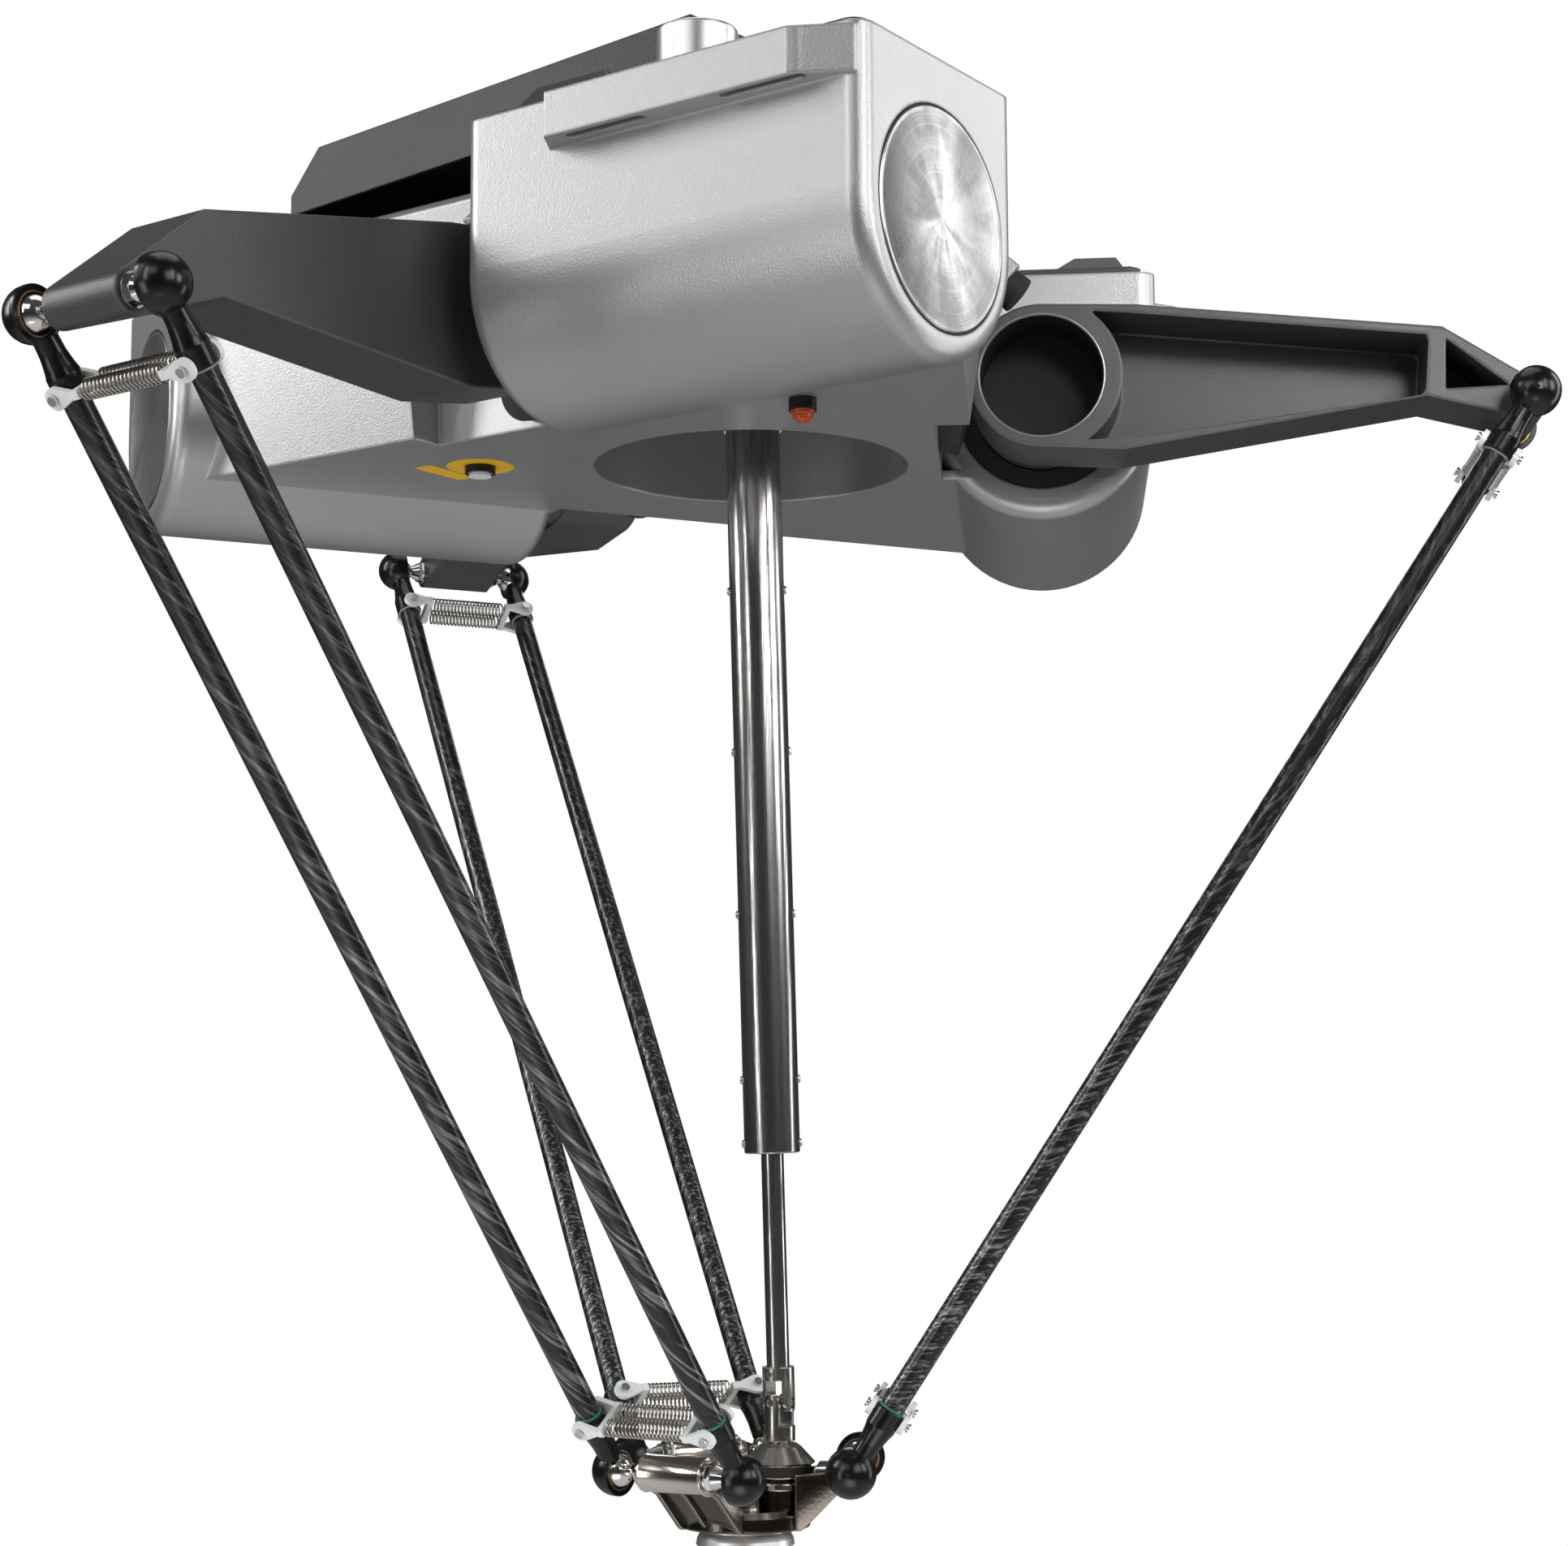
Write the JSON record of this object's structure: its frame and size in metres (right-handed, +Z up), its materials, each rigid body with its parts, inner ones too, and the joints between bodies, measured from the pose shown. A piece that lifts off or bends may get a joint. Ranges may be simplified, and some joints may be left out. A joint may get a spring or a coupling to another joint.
{
  "type": "delta robot",
  "caption": "Ceiling-hung parallel robot: three motor-driven arms, paired ball-jointed rods, a moving platform and a telescopic shaft that turns its tool flange.",
  "frame": {"origin": "centre of the mounting plane, which is the tops of the three bolting flanges, on the axis that the arms are spaced round", "axes": "+Z up, square to the mounting plane; arm C points along +Y, arms A and B point at 210 and 330 degrees from +X"},
  "size_m": [0.9892, 0.9654, 0.894],
  "materials": {
    "silver_paint": "fine textured metallic paint on cast aluminium",
    "turned_aluminium": "turned face with fine rings",
    "lid_grey": "satin dark grey paint",
    "seal_white": "pale seal",
    "screw_steel": "bright stainless",
    "motor_black": "black paint",
    "gearbox_grey": "dark machined casting",
    "seal_black": "matt black rubber",
    "textured_black": "coarse textured black powder coat",
    "black_plastic": "gloss black moulding",
    "amber_lens": "ribbed amber lens",
    "white_nylon": "satin white nylon",
    "arm_anodised": "dark anodised casting",
    "stud_steel": "polished steel",
    "carbon_fibre": "wound carbon fibre under resin",
    "bronze_liner": "bronze-filled bearing plastic",
    "spring_steel": "bright spring wire",
    "joint_steel": "machined stainless steel",
    "tube_steel": "brushed stainless tube",
    "platform_nickel": "bright nickel plate on aluminium",
    "machined_steel": "turned steel",
    "tool_aluminium": "turned aluminium"
  },
  "bodies": {
    "base": {"base_casting": "silver_paint", "end_caps": "turned_aluminium", "housing_lids": "lid_grey", "centre_lid": "lid_grey", "lid_gaskets": "seal_white", "lid_screws": "screw_steel", "arm_motors": "motor_black", "arm_gearboxes": "gearbox_grey", "shaft_seals": "seal_black", "amplifier_cover": "textured_black", "earth_post": "silver_paint", "beacon_base": "black_plastic", "beacon_lens": "amber_lens", "brake_collar": "black_plastic", "arm_bumpers": "seal_black", "theta_motor": "motor_black"},
    "brake_button": {"brake_button": "white_nylon"},
    "arm_a": {"arm_a": "arm_anodised", "upper_studs_a": "stud_steel"},
    "arm_b": {"arm_b": "arm_anodised", "upper_studs_b": "stud_steel"},
    "arm_c": {"arm_c": "arm_anodised", "upper_studs_c": "stud_steel"},
    "rods_a": {"rod_tubes_a": "carbon_fibre", "rod_sockets_a": "black_plastic", "socket_liners_a": "bronze_liner", "springs_a": "spring_steel", "spring_clips_a": "white_nylon", "clip_pins_a": "screw_steel", "lower_studs_a": "stud_steel"},
    "rods_b": {"rod_tubes_b": "carbon_fibre", "rod_sockets_b": "black_plastic", "socket_liners_b": "bronze_liner", "springs_b": "spring_steel", "spring_clips_b": "white_nylon", "clip_pins_b": "screw_steel", "lower_studs_b": "stud_steel"},
    "rods_c": {"rod_tubes_c": "carbon_fibre", "rod_sockets_c": "black_plastic", "socket_liners_c": "bronze_liner", "springs_c": "spring_steel", "spring_clips_c": "white_nylon", "clip_pins_c": "screw_steel", "lower_studs_c": "stud_steel"},
    "theta_drive": {"output_yoke": "joint_steel", "upper_cross": "joint_steel"},
    "theta_tube": {"outer_tube": "tube_steel", "tube_yoke": "joint_steel", "guide_rails": "joint_steel", "tube_screws": "screw_steel", "tube_bush": "tube_steel"},
    "inner_shaft": {"inner_shaft": "tube_steel", "shaft_yoke": "joint_steel"},
    "platform": {"platform_body": "platform_nickel", "boss_cover": "machined_steel", "platform_bearings": "joint_steel"},
    "pinion": {"pinion_shaft": "joint_steel", "lower_cross": "joint_steel"},
    "tool": {"tool_flange": "tool_aluminium", "flange_gear": "joint_steel"}
  },
  "joints": [
    {"name": "arm_a_swing", "type": "hinge", "parent": "base", "child": "arm_a", "pos_m": [-0.19009, -0.10975, -0.086], "axis": [0.5, -0.866, 0], "range_deg": [-13.92, 6.96]},
    {"name": "arm_b_swing", "type": "hinge", "parent": "base", "child": "arm_b", "pos_m": [0.19009, -0.10975, -0.086], "axis": [0.5, 0.866, 0], "range_deg": [-14.41, 7.21]},
    {"name": "arm_c_swing", "type": "hinge", "parent": "base", "child": "arm_c", "pos_m": [0, 0.2195, -0.086], "axis": [-1, 0, 0], "range_deg": [-14.25, 7.14]},
    {"name": "rods_a_swing", "type": "hinge", "parent": "arm_a", "child": "rods_a", "pos_m": [-0.45245, -0.26122, -0.14687], "axis": [0.4981, -0.8671, -0.0017], "range_deg": [-7.26, 14.51]},
    {"name": "rods_b_swing", "type": "hinge", "parent": "arm_b", "child": "rods_b", "pos_m": [0.45684, -0.26376, -0.11063], "axis": [0.4863, 0.8738, 0.0099], "range_deg": [-7.33, 14.64]},
    {"name": "rods_c_swing", "type": "hinge", "parent": "arm_c", "child": "rods_c", "pos_m": [0, 0.52743, -0.11165], "axis": [-0.9999, 0.0134, -0.0086], "range_deg": [-7.31, 14.6]},
    {"name": "theta_spin", "type": "hinge", "parent": "base", "child": "theta_drive", "pos_m": [0.02468, -0.01425, -0.066], "axis": [0, 0, 1], "continuous": true},
    {"name": "tube_spin", "type": "hinge", "parent": "base", "child": "theta_tube", "pos_m": [0.02468, -0.01425, -0.066], "axis": [-0.0405, -0.0314, 0.9987], "continuous": true},
    {"name": "shaft_slide", "type": "slide", "parent": "theta_tube", "child": "inner_shaft", "axis": [-0.0405, -0.0314, 0.9987], "range_m": [-0.0402, 0.0802]},
    {"name": "platform_level", "type": "hinge", "parent": "inner_shaft", "child": "platform", "pos_m": [0.05205, 0.007, -0.741], "axis": [-0.0405, -0.0314, 0.9987], "continuous": true},
    {"name": "pinion_spin", "type": "hinge", "parent": "platform", "child": "pinion", "pos_m": [0.05205, 0.007, -0.741], "axis": [0, 0, 1], "continuous": true},
    {"name": "tool_spin", "type": "hinge", "parent": "platform", "child": "tool", "pos_m": [0.033, 0.018, -0.78], "axis": [0, 0, 1], "continuous": true},
    {"name": "brake_press", "type": "slide", "parent": "base", "child": "brake_button", "axis": [0, 0, 1], "range_m": [0, 0.003], "stiffness_N_per_m": 600, "springref_m": -0.002}
  ],
  "couplings": [
    {"joint": "arm_b_swing", "follows": "arm_a_swing", "ratio": 1.0337},
    {"joint": "arm_c_swing", "follows": "arm_a_swing", "ratio": 1.0223},
    {"joint": "rods_a_swing", "follows": "arm_a_swing", "ratio": -1.0409},
    {"joint": "rods_b_swing", "follows": "arm_a_swing", "ratio": -1.0505},
    {"joint": "rods_c_swing", "follows": "arm_a_swing", "ratio": -1.0471},
    {"joint": "shaft_slide", "follows": "arm_a_swing", "m_per_rad": -0.32929},
    {"joint": "tube_spin", "follows": "theta_spin", "ratio": 1},
    {"joint": "platform_level", "follows": "theta_spin", "ratio": -1},
    {"joint": "pinion_spin", "follows": "theta_spin", "ratio": 1},
    {"joint": "tool_spin", "follows": "theta_spin", "ratio": -0.46667}
  ]
}
